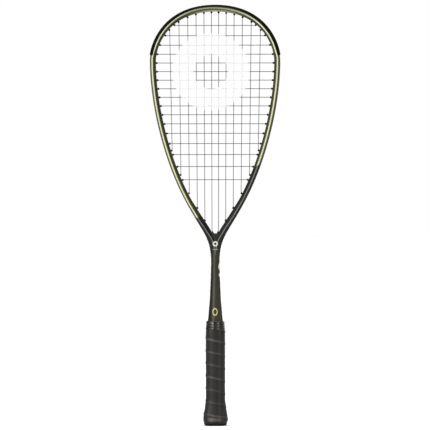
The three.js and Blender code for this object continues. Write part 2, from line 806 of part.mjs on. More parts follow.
const makeGrip = () => sleeve(coreProfile, gripOutside, CLEARANCE, GRIP_BOTTOM, wrapTop);
const makeTape = () =>
  sleeve(
    tapeBase.map(([half, z]) => [half + CLEARANCE, z]),
    tapeBase.map(([half, z]) => [half + 2 * CLEARANCE, z]),
    TAPE_THICK,
    TAPE_BOTTOM,
    TAPE_TOP,
  );
const makeCollar = () =>
  sleeve(
    tapeBase.map(([half, z]) => [half + 2 * CLEARANCE + TAPE_THICK, z]),
    tapeBase.map(([half, z]) => [half + 3 * CLEARANCE + TAPE_THICK, z]),
    COLLAR_THICK,
    COLLAR_BOTTOM,
    COLLAR_TOP,
  );

// ---------------------------------------------------------------- materials and the assembly
const finish = (color, roughness, metalness = 0) =>
  new THREE.MeshStandardMaterial({ color, roughness, metalness });
const finishes = {
  lacquer: finish(0x5c5c40, 0.35, 0.3),
  blackPlastic: finish(0x1a1a18, 0.5),
  grommet: finish(0x141412, 0.55),
  string: finish(0x8a8884, 0.4),
  foam: finish(0xb9b29c, 0.9),
  capPlastic: finish(0x24221f, 0.6),
  steel: finish(0xb8b8b4, 0.35, 1),
  wrap: finish(0x3c3934, 0.75),
  tape: finish(0x1d1c1b, 0.3),
  rubber: finish(0x262422, 0.7),
};

const racket = new THREE.Group();

function add(name, shape, material) {
  const geometry = shape.isBufferGeometry ? shape : geometryOf(shape);
  const mesh = new THREE.Mesh(geometry, material);
  mesh.name = name;
  racket.add(mesh);
}

add("frame", makeFrame(), finishes.lacquer);
add("throat_bridge", makeBridge(), finishes.lacquer);
add("head_guard", makeGuard(), finishes.blackPlastic);
add("grommet_strip_right", makeRightStrip(), finishes.grommet);
add("grommet_strip_left", makeLeftStrip(), finishes.grommet);
throatMains.forEach((station, i) => {
  add(`throat_grommet_right_${i + 1}`, makeThroatGrommet(station), finishes.grommet);
  add(`throat_grommet_left_${i + 1}`, makeThroatGrommet(other(station)), finishes.grommet);
});
add("main_string", stringBody(mainsRoute()), finishes.string);
add("cross_string", stringBody(crossesRoute()), finishes.string);
add("shaft_foam_plug", makeFoam(), finishes.foam);
add("pallet_front", makePallet(-1), finishes.foam);
add("pallet_back", makePallet(1), finishes.foam);
add("butt_cap", makeCap(), finishes.capPlastic);
add("butt_cap_plug", plugBody(0), finishes.rubber);
add("butt_staple_front", makeStaple(-1), finishes.steel);
add("butt_staple_back", makeStaple(1), finishes.steel);
add("grip_wrap", makeGrip(), finishes.wrap);
add("finishing_tape", makeTape(), finishes.tape);
add("rubber_collar", makeCollar(), finishes.rubber);

export default racket;
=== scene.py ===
import math

import bmesh
import bpy
from mathutils import Matrix, Vector
from mathutils.geometry import interpolate_bezier


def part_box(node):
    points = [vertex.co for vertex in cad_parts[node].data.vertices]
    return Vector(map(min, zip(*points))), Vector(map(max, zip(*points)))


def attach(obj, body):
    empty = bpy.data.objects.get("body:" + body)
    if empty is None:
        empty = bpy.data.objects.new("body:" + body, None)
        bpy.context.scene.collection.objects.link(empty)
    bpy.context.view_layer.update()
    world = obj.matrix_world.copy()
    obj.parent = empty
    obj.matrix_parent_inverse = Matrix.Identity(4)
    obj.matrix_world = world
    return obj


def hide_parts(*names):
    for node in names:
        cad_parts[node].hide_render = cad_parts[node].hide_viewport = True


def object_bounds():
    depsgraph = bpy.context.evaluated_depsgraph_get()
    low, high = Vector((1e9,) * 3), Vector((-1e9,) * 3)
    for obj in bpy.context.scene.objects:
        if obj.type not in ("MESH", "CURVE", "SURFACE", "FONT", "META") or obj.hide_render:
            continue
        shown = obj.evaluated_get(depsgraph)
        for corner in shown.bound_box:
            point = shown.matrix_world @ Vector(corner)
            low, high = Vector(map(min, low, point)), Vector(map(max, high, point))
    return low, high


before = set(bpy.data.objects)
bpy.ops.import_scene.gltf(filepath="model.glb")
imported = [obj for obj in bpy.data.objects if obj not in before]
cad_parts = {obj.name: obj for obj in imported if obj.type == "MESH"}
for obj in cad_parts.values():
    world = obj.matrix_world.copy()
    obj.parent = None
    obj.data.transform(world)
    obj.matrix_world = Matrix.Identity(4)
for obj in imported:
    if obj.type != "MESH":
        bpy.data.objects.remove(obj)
cad_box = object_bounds()
mm = 0.001

# ---------------------------------------------------------------------------------------------
# The studio: a pale floor that runs out past the view, a soft key box and a narrow strip box on the
# left, a weaker box on the right, one behind the racket, and a wide soft sun overhead. The camera
# stands level in front and far off, so that the racket's near and far rims line up.
camera_distance = 7.0
camera_height = 0.3432
camera_side = -0.00044
camera_roll = math.radians(0.065)
view_width = 0.7012
camera = bpy.data.objects.new("camera", bpy.data.cameras.new("camera"))
bpy.context.scene.collection.objects.link(camera)
bpy.context.scene.camera = camera
camera.location = (camera_side, -camera_distance, camera_height)
camera.rotation_euler = (math.radians(90), camera_roll, 0)
camera.data.sensor_width = 36
camera.data.lens = camera.data.sensor_width * camera_distance / view_width
camera.data.clip_end = 200

# Colours come out as they are, with no film curve, so the backdrop is plain white.
bpy.context.scene.view_settings.view_transform = "Standard"


def link_node(tree, kind, inputs=None, **settings):
    """Add a shader node, set its settings, and fill its inputs with values or with other outputs."""
    node = tree.nodes.new(kind)
    for setting, value in settings.items():
        setattr(node, setting, value)
    for socket, value in (inputs or {}).items():
        if isinstance(value, bpy.types.NodeSocket):
            tree.links.new(value, node.inputs[socket])
        else:
            node.inputs[socket].default_value = value
    return node


def start_finish(name, **constants):
    """A material with one Principled shader; constants that don't vary go on its own sockets."""
    material = bpy.data.materials.new(name)
    material.use_nodes = True
    tree = material.node_tree
    shader = tree.nodes["Principled BSDF"]
    for socket, value in constants.items():
        shader.inputs[socket.replace("_", " ")].default_value = value
    return material, tree, shader


def srgb(red, green, blue):
    """A colour given as a paint chip's 0 to 255 values, made linear."""
    def linear(value):
        value /= 255
        return value / 12.92 if value <= 0.04045 else ((value + 0.055) / 1.055) ** 2.4

    return (linear(red), linear(green), linear(blue), 1)


def spread(tree, value, low, high, start=0.0, end=1.0):
    """Map a value that runs from start to end onto low to high."""
    return link_node(
        tree, "ShaderNodeMapRange",
        {"Value": value, "From Min": start, "From Max": end, "To Min": low, "To Max": high},
    ).outputs["Result"]


def blend(tree, factor, first, second, blend_type="MIX"):
    """Mix two colours, each of them a value or another node's output."""
    return link_node(
        tree, "ShaderNodeMix", {"Factor": factor, "A": first, "B": second},
        data_type="RGBA", blend_type=blend_type,
    ).outputs["Result"]


# The camera sees a white backdrop. The racket is lit by a dimmer room, darkest behind it.
world = bpy.data.worlds.new("studio")
bpy.context.scene.world = world
world.use_nodes = True
tree = world.node_tree
tree.nodes.clear()
facing = link_node(
    tree, "ShaderNodeSeparateXYZ", {0: link_node(tree, "ShaderNodeTexCoord").outputs["Generated"]}
).outputs[1]
room_glow = spread(tree, facing, 0.30, 0.12, start=-0.3, end=0.7)
room = link_node(tree, "ShaderNodeBackground", {"Color": (1, 1, 1, 1), "Strength": room_glow})
backdrop = link_node(tree, "ShaderNodeBackground", {"Color": (1, 1, 1, 1), "Strength": 1.0})
seen = link_node(tree, "ShaderNodeLightPath").outputs["Is Camera Ray"]
shown = link_node(
    tree, "ShaderNodeMixShader", {0: seen, 1: room.outputs[0], 2: backdrop.outputs[0]}
)
link_node(tree, "ShaderNodeOutputWorld", {0: shown.outputs[0]})


def hang_softbox(name, place, size, power):
    """A rectangular soft light, aimed at the middle of the racket."""
    lamp = bpy.data.lights.new(name, "AREA")
    lamp.shape = "RECTANGLE"
    lamp.size, lamp.size_y = size
    lamp.energy = power
    box = bpy.data.objects.new(name, lamp)
    bpy.context.scene.collection.objects.link(box)
    box.location = place
    aim = Vector((0, 0, 0.4)) - Vector(place)
    box.rotation_euler = aim.to_track_quat("-Z", "Y").to_euler()


hang_softbox("key_softbox", (-1.7, -2.2, 1.6), (1.3, 1.5), 30)
hang_softbox("strip_softbox", (-1.25, -2.7, 0.7), (0.3, 1.9), 16)
hang_softbox("fill_softbox", (1.15, -2.8, 0.6), (0.35, 1.7), 7)
hang_softbox("back_softbox", (1.7, 2.3, 1.4), (1.2, 1.2), 26)
sun = bpy.data.lights.new("overhead_sun", "SUN")
sun.energy = 2.85
sun.angle = math.radians(50)
bpy.context.scene.collection.objects.link(bpy.data.objects.new("overhead_sun", sun))

# The floor's paper throws less light back at the racket than the camera sees on it.
floor_paper, tree, shader = start_finish("floor_paper", Roughness=0.9)
pulp = link_node(tree, "ShaderNodeTexNoise", {"Scale": 3.0, "Detail": 3.0}).outputs["Fac"]
tint = blend(tree, pulp, (0.97, 0.97, 0.97, 1), (0.99, 0.99, 0.985, 1))
seen = link_node(tree, "ShaderNodeLightPath").outputs["Is Camera Ray"]
paper_tone = blend(tree, seen, (0.5, 0.5, 0.5, 1), tint)
tree.links.new(paper_tone, shader.inputs["Base Color"])

floor_radius = 60
floor_gap = 0.2 * mm
bm = bmesh.new()
bmesh.ops.create_circle(bm, cap_ends=True, radius=floor_radius, segments=64)
floor_mesh = bpy.data.meshes.new("floor")
bm.to_mesh(floor_mesh)
bm.free()
floor_mesh.materials.append(floor_paper)
floor = bpy.data.objects.new("floor", floor_mesh)
floor.location.z = cad_box[0][2] - floor_gap
bpy.context.scene.collection.objects.link(floor)

# ---------------------------------------------------------------------------------------------
# The frame: one tube of carbon fibre in epoxy, moulded hollow, that runs from the handle's core up
# the shaft, divides into two arms, and closes round the head. It is lacquered pale lime round the
# head and down the outer end of one arm, and black below. A flat stripe runs along its faces.
head_half, beam_half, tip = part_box("frame")[1]
rim = 4.9 * mm
neck = 264 * mm
shaft_foot = 168 * mm
core_half_width = 8.4 * mm
channel_half = 3.4 * mm
channel_depth = 3 * mm
channel_end = 302 * mm


def hoop_curve():
    """The right half of the frame's centreline, from the tip down to the neck."""
    up = Vector((0, 0, 1))
    across = Vector((1, 0, 0))
    arm_slope = math.radians(27.5)
    along_arm = Vector((math.sin(arm_slope), 0, math.cos(arm_slope)))
    crown = Vector((0, 0, tip - rim))
    widest = Vector((head_half - rim, 0, 595 * mm))
    arm = Vector((46.6 * mm, 0, neck + 108.6 * mm))
    root = Vector((2 * mm, 0, neck))
    spans = [
        (crown, crown + across * 83.6 * mm, widest + up * 21.2 * mm, widest, 60),
        (widest, widest - up * 73.3 * mm, arm + along_arm * 67.8 * mm, arm, 60),
        (arm, arm - along_arm * 65.9 * mm, root + up * 47.3 * mm, root, 44),
    ]
    points = [crown]
    for start, handle, other_handle, end, steps in spans:
        points += interpolate_bezier(start, handle, other_handle, end, steps)[1:]
    return points


hoop = hoop_curve()
travelled = [0.0]
for before, after in zip(hoop, hoop[1:]):
    travelled.append(travelled[-1] + (after - before).length)
hoop_end = travelled[-1]


def hoop_frame(distance):
    """The centreline's point, and the way out of the hoop, at a distance down from the tip.
    A negative distance is on the left side."""
    side = -1 if distance < 0 else 1
    reach = min(abs(distance), hoop_end)
    i = 1
    while i < len(hoop) - 1 and travelled[i] < reach:
        i += 1
    share = (reach - travelled[i - 1]) / (travelled[i] - travelled[i - 1])
    point = hoop[i - 1].lerp(hoop[i], share)
    ends = (max(i - 2, 0), min(i + 1, len(hoop) - 1))
    travel = (hoop[ends[1]] - hoop[ends[0]]).normalized()
    if reach < 1e-6:
        travel = Vector((1, 0, 0))
    out = Vector((-travel.z, 0, travel.x))
    if side < 0:
        point, out = Vector((-point.x, 0, point.z)), Vector((-out.x, 0, out.z))
    return point, out


def blended(height, table):
    """A value read between the rows of a table of (height in mm, value), highest row first."""
    height /= mm
    if height >= table[0][0]:
        return table[0][1]
    for (high, at_high), (low, at_low) in zip(table, table[1:]):
        if height >= low:
            share = (height - low) / (high - low)
            share = share * share * (3 - 2 * share)
            return at_low + (at_high - at_low) * share
    return table[-1][1]


# Points down a flank, from the stripe's edge to the member's side: the share of the way out, and
# the share of the beam's half depth.
flank_curve = [
    (0.05, 0.992), (0.16, 0.966), (0.43, 0.893), (0.70, 0.79), (0.90, 0.668), (1.0, 0.52),
]


def tube_outline(width, stripe, shift, channel):
    """The frame's outline as (out, off) pairs in metres, from the outer edge and the middle plane.
    stripe is the flat's width, shift moves it outwards, and channel is the groove's depth."""
    half = width / 2
    front = [(half - channel, 0), (half - channel, 3.2 * mm), (half - channel, channel_half)]
    front += [(half - min(0.3 * mm, channel), channel_half), (half, channel_half + 0.4 * mm)]
    crease = shift + stripe / 2
    front += [(crease + (half - crease) * way, beam_half * rise) for way, rise in reversed(flank_curve)]
    front += [(crease, beam_half), (shift, beam_half), (shift - stripe / 2, beam_half)]
    crease = shift - stripe / 2
    front += [(crease + (-half - crease) * way, beam_half * rise) for way, rise in flank_curve]
    front += [(-half, 3.8 * mm), (-half, 1.9 * mm), (-half, 0)]
    back = [(out, -off) for out, off in reversed(front[1:-1])]
    return [(out - half, off) for out, off in front + back]


def sweep(bm, outlines, cap=True, mark=None, marks=()):
    """Roll a grid into a tube, with one row for each outline; an outline is a list of points.
    mark is a float layer that takes, for each point of each outline, a value from marks."""
    around = len(outlines[0])
    verts = bmesh.ops.create_grid(
        bm, x_segments=around, y_segments=len(outlines) - 1, size=1
    )["verts"]
    for i, vert in enumerate(verts):
        row, column = divmod(i, around + 1)
        vert.co = outlines[row][column % around]
        if mark:
            vert[mark] = marks[row][column % around]
    bmesh.ops.remove_doubles(bm, verts=verts, dist=1e-6)
    if cap:
        bmesh.ops.holes_fill(bm, edges=[edge for edge in bm.edges if edge.is_boundary])


def settle(bm, name, material, node):
    """Turn a finished bmesh into a named piece that rides on the racket and stands for a CAD node."""
    bmesh.ops.recalc_face_normals(bm, faces=bm.faces)
    for face in bm.faces:
        face.smooth = True
    mesh = bpy.data.meshes.new(name)
    bm.to_mesh(mesh)
    bm.free()
    mesh.set_sharp_from_angle(angle=math.radians(40))
    mesh.materials.append(material)
    piece = bpy.data.objects.new(name, mesh)
    bpy.context.scene.collection.objects.link(piece)
    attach(piece, "root")
    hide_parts(node)


# In mm, by height: the member's width, its stripe's width, and how far out the stripe's middle is.
member_width = [
    (368, 9.8), (351, 10.7), (334, 11.2), (318, 11.8), (300, 12.6), (286, 14.4), (264, 13.8),
]
stripe_width = [
    (680, 1.0), (660, 1.3), (635, 2.0), (605, 2.3), (330, 2.3), (315, 1.4), (296, 1.2), (283, 1.6),
    (264, 2.1),
]
stripe_shift = [
    (682, 0.7), (668, -0.1), (650, -0.4), (615, -0.4), (598, 0.7), (430, 0.8), (385, 1.0),
    (342, 1.4), (318, 0.6), (299, -0.9), (284, 0.0), (264, 0.0),
]
shaft_half = [(264, 7.05), (247, 7.4), (227.5, 8.1), (208, 8.95), (195, 9.95), (182, 11.2), (168, 12.3)]

# Each row of the frame's skin, and how far out of the stripe's middle its points are, in mm.
hoop_rows = 169
outlines, stripe_marks = [], []
for step in range(-2, hoop_rows + 1):
    point, out = hoop_frame(hoop_end * step / hoop_rows)
    width = blended(point.z, member_width) * mm
    shift = blended(point.z, stripe_shift) * mm
    channel = channel_depth * min(1, max(0, (point.z - channel_end) / (2 * mm)))
    outline = tube_outline(width, blended(point.z, stripe_width) * mm, shift, channel)
    outlines.append([point + out * (rim + across) + Vector((0, off, 0)) for across, off in outline])
    stripe_marks.append([(across + width / 2 - shift) / mm for across, _ in outline])
for height in (258, 250, 240, 228, 216, 205, 196, 188, 180, 174, 168.4, 168, 167.6, 120, 60, 6):
    on_shaft = height * mm >= shaft_foot
    half = blended(height * mm, shaft_half) * mm if on_shaft else core_half_width
    outline = tube_outline(2 * half, 0.3 * half, 0, 0)
    outlines.append([Vector((half + across, off, height * mm)) for across, off in outline])
    stripe_marks.append([(across + half) / mm for across, _ in outline])

# The rows cover the right half and a little more, and are cut at the middle and mirrored.
bm = bmesh.new()
sweep(bm, outlines, mark=bm.verts.layers.float.new("across"), marks=stripe_marks)
bmesh.ops.bisect_plane(
    bm, geom=bm.verts[:] + bm.edges[:] + bm.faces[:], plane_co=(0, 0, 0), plane_no=(1, 0, 0),
    clear_inner=True, dist=1e-6,
)
bmesh.ops.mirror(bm, geom=bm.verts[:] + bm.edges[:] + bm.faces[:], axis="X", merge_dist=0.02 * mm)
bmesh.ops.remove_doubles(bm, verts=bm.verts, dist=0.01 * mm)
bmesh.ops.holes_fill(bm, edges=[edge for edge in bm.edges if edge.is_boundary])


def calculate(tree, operation, first, second=0.0):
    """One sum on two values, each of them a number or another node's output."""
    return link_node(tree, "ShaderNodeMath", {0: first, 1: second}, operation=operation).outputs[0]


def product_of(tree, *factors):
    """Multiply values, which for masks keeps only where all of them are."""
    product = factors[0]
    for factor in factors[1:]:
        product = calculate(tree, "MULTIPLY", product, factor)
    return product


def racket_place(tree):
    """The racket's own axes, which every finish is laid out in."""
    return link_node(tree, "ShaderNodeTexCoord").outputs["Object"]


def noise(tree, place, scale, detail, roughness=0.5):
    """Cloudy variation from 0 to 1."""
    return link_node(
        tree, "ShaderNodeTexNoise",
        {"Vector": place, "Scale": scale, "Detail": detail, "Roughness": roughness},
    ).outputs["Fac"]


def graded(tree, value, low, high, stops, interpolation="LINEAR"):
    """Colours along a value that runs from low to high, from stops of (value, colour)."""
    ramp = link_node(tree, "ShaderNodeValToRGB", {"Fac": spread(tree, value, 0.0, 1.0, low, high)})
    ramp.color_ramp.interpolation = interpolation
    points = ramp.color_ramp.elements
    while len(points) < len(stops):
        points.new(0.5)
    for point, (at, colour) in zip(points, stops):
        point.position, point.color = (at - low) / (high - low), colour
    return ramp.outputs["Color"]


def emboss(tree, shader, height, strength, depth):
    """Give a finish fine relief from a height pattern."""
    bump = link_node(
        tree, "ShaderNodeBump", {"Strength": strength, "Distance": depth, "Height": height}
    )
    tree.links.new(bump.outputs["Normal"], shader.inputs["Normal"])


def lacquer_finish():
    """Two-colour lacquer: olive and lime above a slanted cut on each arm, near black below, and a
    pale stripe along the flats, partly paint and partly painted highlight. Along the black runs a
    grey painted highlight of the crease."""
    material, tree, shader = start_finish(
        "frame_lacquer", Coat_Weight=0.04, Coat_Roughness=0.15, Specular_IOR_Level=0.2
    )
    place = racket_place(tree)
    x, y, z = link_node(tree, "ShaderNodeSeparateXYZ", {0: place}).outputs
    across = link_node(tree, "ShaderNodeAttribute", attribute_name="across").outputs["Fac"]

    def sums(operation, first, second=0.0):
        return calculate(tree, operation, first, second)

    def both(*masks):
        return product_of(tree, *masks)

    def above(value, at, soft):
        """0 below a value and 1 above it, with a soft step."""
        return spread(tree, value, 0.0, 1.0, at - soft, at + soft)

    def below(value, at, soft):
        return above(sums("MULTIPLY", value, -1.0), -at, soft)

    def banded(distance, bands):
        """Colours by a distance in mm, up to 6 mm each way."""
        return graded(tree, distance, -6.0, 6.0, bands)

    def reach_from(middle, stretch=(1.0, 0.0, 1.0)):
        """The distance from a place, with each axis stretched."""
        away = link_node(
            tree, "ShaderNodeVectorMath", {0: place, 1: middle}, operation="SUBTRACT"
        ).outputs[0]
        away = link_node(
            tree, "ShaderNodeVectorMath", {0: away, 1: stretch}, operation="MULTIPLY"
        ).outputs[0]
        return link_node(tree, "ShaderNodeVectorMath", {0: away}, operation="LENGTH").outputs["Value"]

    # The stripe sits a little to the left of the flat's middle on both arms, a painted highlight of the
    # light from the left.
    lean = sums("SUBTRACT", above(x, 0.0, 24 * mm), 0.5)
    to_stripe = sums("ADD", across, sums("MULTIPLY", lean, 1.1))
    lime_paint = banded(to_stripe, [
        (-5.0, srgb(36, 35, 18)), (-3.6, srgb(46, 45, 25)), (-2.2, srgb(62, 62, 38)),
        (-1.2, srgb(92, 93, 62)), (-0.85, srgb(228, 230, 190)), (0.75, srgb(232, 234, 196)),
        (1.1, srgb(110, 112, 80)), (2.4, srgb(80, 81, 56)), (4.5, srgb(70, 70, 50)),
    ])
    # On the black, the grey line along the stripe's middle is a painted highlight of the crease.
    black_paint = banded(to_stripe, [
        (-4.0, srgb(14, 14, 12)), (-1.4, srgb(16, 16, 14)), (-0.7, srgb(30, 30, 27)),
        (-0.45, srgb(150, 150, 143)), (0.3, srgb(150, 150, 143)), (0.65, srgb(46, 46, 42)),
        (2.2, srgb(38, 38, 35)), (4.5, srgb(34, 34, 31)),
    ])
    # The shaft's lacquer has a painted highlight in a paler band left of its middle and painted shade
    # at its left edge. It spreads with the shaft, which is 14 mm across at the neck and 24 mm at the
    # collar.
    down = sums("MAXIMUM", sums("DIVIDE", sums("SUBTRACT", neck, z), neck - shaft_foot), 0.0)
    half = sums("ADD", 7 * mm, sums("MULTIPLY", sums("POWER", down, 1.7), 5.2 * mm))
    shaft_painted_light = banded(sums("MULTIPLY", sums("DIVIDE", x, half), 6.0), [
        (-6.0, srgb(12, 11, 9)), (-4.7, srgb(26, 25, 20)), (-3.5, srgb(42, 41, 33)),
        (-2.6, srgb(82, 81, 68)), (-1.6, srgb(96, 95, 82)), (-0.8, srgb(80, 80, 66)),
        (0.2, srgb(56, 56, 43)), (1.2, srgb(62, 62, 49)), (2.6, srgb(51, 51, 39)),
        (4.0, srgb(64, 64, 52)), (6.0, srgb(66, 66, 54)),
    ])
    black_paint = blend(tree, below(z, 284 * mm, 8 * mm), black_paint, shaft_painted_light)
    cloud = noise(tree, place, 60.0, 4.0)
    black_paint = blend(tree, sums("MULTIPLY", cloud, 0.3), black_paint, srgb(34, 33, 27))

    # At the tip the stripe dims, and the hoop's inner face is paler beyond a dark line. The pale
    # inner face is a painted reflection of the floor.
    flake = noise(tree, place, 2600.0, 2.0)
    lime_paint = blend(tree, sums("MULTIPLY", flake, 0.12), lime_paint, srgb(120, 122, 80))
    crown = above(z, 668 * mm, 12 * mm)
    crest = above(z, 674 * mm, 7 * mm)
    dimmed_stripe = both(crown, above(across, -1.2, 0.1), 0.65)
    inner_line = both(crest, below(across, -1.5, 0.35))
    inner_face_floor_reflection = both(crest, below(across, -3.6, 1.0))
    lime_paint = blend(tree, dimmed_stripe, lime_paint, srgb(92, 93, 66))
    lime_paint = blend(tree, inner_line, lime_paint, srgb(78, 79, 54))
    lime_paint = blend(tree, inner_face_floor_reflection, lime_paint, srgb(206, 208, 178))

    # Lime reaches down the left arm to one height and the right arm to another.
    right = above(x, 0.0, 0.1 * mm)
    left_lime = above(sums("ADD", z, sums("MULTIPLY", x, -0.35)), 349 * mm, 0.5 * mm)
    right_lime = above(sums("ADD", z, sums("MULTIPLY", x, -0.75)), 372 * mm, 0.5 * mm)
    lime = sums("ADD", both(right, right_lime), both(sums("SUBTRACT", 1.0, right), left_lime))
    paint = blend(tree, lime, black_paint, lime_paint)

    # A plain ring over a short bar at the throat, a plain oval at the shaft's foot, and two pale
    # spots on the shaft's right edge.
    crisp = 0.25 * mm
    face = above(sums("ABSOLUTE", y), 6.5 * mm, 0.3 * mm)

    def outlined(reach, inner, outer):
        return both(above(reach, inner, crisp), below(reach, outer, crisp), face)

    ring = outlined(reach_from((0, 0, 296.2 * mm)), 2.0 * mm, 4.3 * mm)
    oval = outlined(reach_from((-0.6 * mm, 0, 185.4 * mm), (1.5, 0.0, 1.0)), 4.5 * mm, 6.1 * mm)
    from_bar = sums("ABSOLUTE", sums("SUBTRACT", z, 287.0 * mm))
    bar = both(
        below(sums("ABSOLUTE", x), 4.1 * mm, 0.2 * mm), below(from_bar, 0.6 * mm, 0.2 * mm), face
    )
    spots = sums(
        "MAXIMUM",
        below(reach_from((9.4 * mm, 0, 259.2 * mm), (1.0, 0.0, 0.62)), 4.4 * mm, crisp),
        below(reach_from((9.4 * mm, 0, 245.3 * mm), (1.0, 0.0, 0.9)), 3.7 * mm, crisp),
    )
    for mark, colour in (
        (ring, srgb(226, 227, 214)), (bar, srgb(168, 168, 158)), (oval, srgb(234, 230, 150)),
        (spots, srgb(255, 255, 214)),
    ):
        paint = blend(tree, mark, paint, colour)
    tree.links.new(paint, shader.inputs["Base Color"])

    scuff = spread(tree, cloud, 0.36, 0.5, start=0.3, end=0.75)
    duller_black = spread(tree, lime, 0.12, 0.0)
    tree.links.new(sums("ADD", scuff, duller_black), shader.inputs["Roughness"])
    emboss(tree, shader, noise(tree, place, 420.0, 2.0), 0.06, 0.2 * mm)
    return material


lacquer = lacquer_finish()
settle(bm, "frame_tube", lacquer, "frame")

# ---------------------------------------------------------------------------------------------
# The throat bridge: a moulded web of the same composite, bonded into the crotch between the arms.
# Its upper edge is a saddle that curves up into both arms, and its faces sit back from the arms'.
saddle_low = 313.4 * mm
web_foot = 283 * mm
web_half = 11.2 * mm
web_proud = 7.7 * mm
web_edge = 2.2 * mm
web_steps = 14
outlines, web_shade_marks = [], []
for step in range(-web_steps, web_steps + 1):
    x = web_half * step / web_steps
    top = saddle_low + 172 * max(0, abs(x) - 4 * mm) ** 2
    bottom = web_foot + 1.3 * abs(x)
    half_depth = web_proud - 14 * x * x
    section = [(-half_depth, bottom), (-half_depth, top - 6 * mm), (-half_depth, top - web_edge)]
    for turn in (20, 40, 60, 80):
        lean = math.radians(turn)
        section.append((
            -half_depth + web_edge * (1 - math.cos(lean)), top - web_edge * (1 - math.sin(lean))
        ))
    section += [(-3 * mm, top), (0, top + 0.02 * mm)]
    section += [(-y, z) for y, z in reversed(section[:-1])] + [(0, bottom)]
    outlines.append([Vector((x, y, z)) for y, z in section])
    # The lacquer is painted darker towards the arms as painted shade of the recess there, so it is a
    # little paler at the web's middle.
    web_shade_marks.append([0.8 + 4.2 * min(1, abs(x) / (6 * mm)) ** 1.5] * len(section))
bm = bmesh.new()
sweep(bm, outlines, mark=bm.verts.layers.float.new("across"), marks=web_shade_marks)
settle(bm, "throat_web", lacquer, "throat_bridge")

# ---------------------------------------------------------------------------------------------
# Where the strings meet the hoop: mains and crosses, by their places in the head. The head guard,
# the grommets and the strings all take their holes from here.
string_radius = 0.575 * mm
strip_top = rim - channel_depth + 1.05 * mm
lane_height = strip_top + 0.25 * mm + string_radius
mouth_depth = rim + 1.5 * mm


def hoop_place(distance, out_by, off=0.0):
    """A point so far out of the hoop's centreline, and off the strings' plane."""
    point, out = hoop_frame(distance)
    return point + out * out_by + Vector((0, off, 0))


def distance_where(low, high, measure):
    """The distance between two others at which a measure passes zero."""
    rising = measure(high) > measure(low)
    for _ in range(40):
        middle = (low + high) / 2
        if (measure(middle) > 0) == rising:
            high = middle
        else:
            low = middle
    return (low + high) / 2


def mouth(distance):
    """Where the hole at a distance opens, inside the hoop."""
    return hoop_place(distance, -mouth_depth)


# The crosses stand a little farther apart at the top, and much farther apart in the throat.
cross_count = 17
even_from, even_to = 7, 8
cross_gaps = []
for i in range(1, cross_count):
    into_throat = max(0, (i - even_to) / (cross_count - 1 - even_to))
    into_top = max(0, (even_from - i) / (even_from - 1))
    cross_gaps.append(1 + 0.535 * into_throat ** 2.2 + 0.2 * into_top ** 3)
first_cross, last_cross = tip - 32.2 * mm, neck + 136.7 * mm
cross_heights = [first_cross]
for gap in cross_gaps:
    cross_heights.append(cross_heights[-1] - (first_cross - last_cross) * gap / sum(cross_gaps))
crosses = [distance_where(0, hoop_end, lambda d, z=z: mouth(d).z - z) for z in cross_heights]
widest_place = distance_where(0, hoop_end, lambda d: mouth(d).z - 595 * mm)
hole_pitch = 4.3 * mm


def clear_of_crosses(distance):
    """Move a hole up the hoop if it would run into a cross's."""
    for near in crosses:
        if abs(near - distance) < hole_pitch:
            return near - hole_pitch
    return distance


# The mains stand from 5.9 to 74.2 mm off the middle at the top, and lean in a little lower down.
mains_a_side = 6
first_main, last_main = 5.9 * mm, 74.2 * mm
main_tops, main_feet = [], []
for i in range(mains_a_side):
    share = i / (mains_a_side - 1)
    reach = first_main + (last_main - first_main) * (share * 0.872 + share ** 2 * 0.128)
    top = distance_where(0, widest_place, lambda d: mouth(d).x - reach)
    foot = distance_where(widest_place, hoop_end, lambda d: mouth(d).x - reach * 0.95)
    main_tops.append(clear_of_crosses(top))
    main_feet.append(clear_of_crosses(foot))

# ---------------------------------------------------------------------------------------------
# The head guard: black nylon, injection moulded, clipped over the tip and shoulders. Its middle
# lies in the frame's channel and its lips wrap over the outer edges. Tubes on its inside go
# through the frame and carry the strings.
guard_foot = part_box("head_guard")[0].z
guard_end = distance_where(0, hoop_end, lambda d: hoop_place(d, 0).z - guard_foot)


def mirrored_outline(front):
    """An outline that is the same on the racket's front and back, from its front half."""
    return front + [(out, -off) for out, off in reversed(front[1:-1])]


def guard_outline(distance):
    """The guard's outline in mm. Its lips reach least far round the frame at the tip."""
    share = min(1, max(0, (abs(distance) - 12 * mm) / (70 * mm)))
    lip = 2.9 - 2.1 * share * share * (3 - 2 * share)
    return mirrored_outline([
        (2.95, 0), (2.95, 1.9), (3.1, 2.3), (5.85, 2.45), (6.1, 2.75), (6.1, 3.7), (6.0, 5.4),
        (5.55, 7.0), (4.6, 8.3), (max(3.3, lip + 0.75), 9.1), (lip + 0.6, 9.42), (lip + 0.25, 9.45),
        (lip + 0.02, 9.3), (lip, 9.1), (lip + 0.7, 9.0), (3.6, 8.2), (4.6, 6.6), (4.96, 4.8),
        (4.94, 3.5), (4.6, 3.18), (2.3, 3.15), (2.15, 2.9), (2.15, 0),
    ])


def ribbon(bm, outline, start, end, pace=2.2 * mm):
    """Sweep an outline in mm along the hoop's channel between two distances."""
    steps = max(2, round(abs(end - start) / pace))
    outlines = []
    for step in range(steps + 1):
        distance = start + (end - start) * step / steps
        point, out = hoop_frame(distance)
        pairs = outline(distance) if callable(outline) else outline
        outlines.append([point + out * a * mm + Vector((0, b * mm, 0)) for a, b in pairs])
    sweep(bm, outlines)


